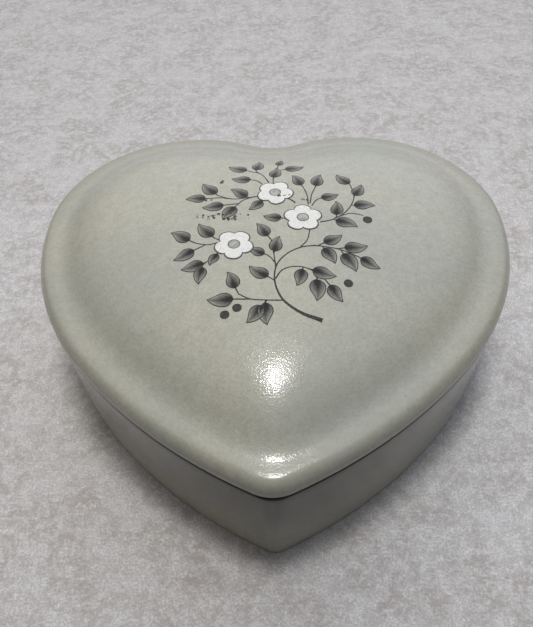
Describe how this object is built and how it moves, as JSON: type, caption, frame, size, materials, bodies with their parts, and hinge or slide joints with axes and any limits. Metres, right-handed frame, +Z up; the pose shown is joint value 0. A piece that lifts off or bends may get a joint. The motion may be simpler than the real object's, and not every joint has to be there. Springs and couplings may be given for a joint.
{
  "type": "heart-shaped trinket box",
  "caption": "Heart-shaped glazed stoneware trinket box with a domed lift-off lid, a rolled lid edge and a printed spray of white blossoms and grey leaves.",
  "frame": {"origin": "on the table, under the middle of the rectangle that the lid's outline fills", "axes": "+Z up, +X to the right across the lobes, the heart's tip towards -Y and the cleft towards +Y"},
  "size_m": [0.115, 0.1109, 0.0437],
  "materials": {
    "box_glaze": "satin",
    "lid_glaze": "satin"
  },
  "bodies": {
    "box_body": {"box_base": "box_glaze"},
    "lid_body": {"lid": "lid_glaze"}
  },
  "joints": [
    {"name": "lid_lift", "type": "slide", "parent": "box_body", "child": "lid_body", "axis": [0, 0, 1], "range_m": [0, 0.06]}
  ]
}
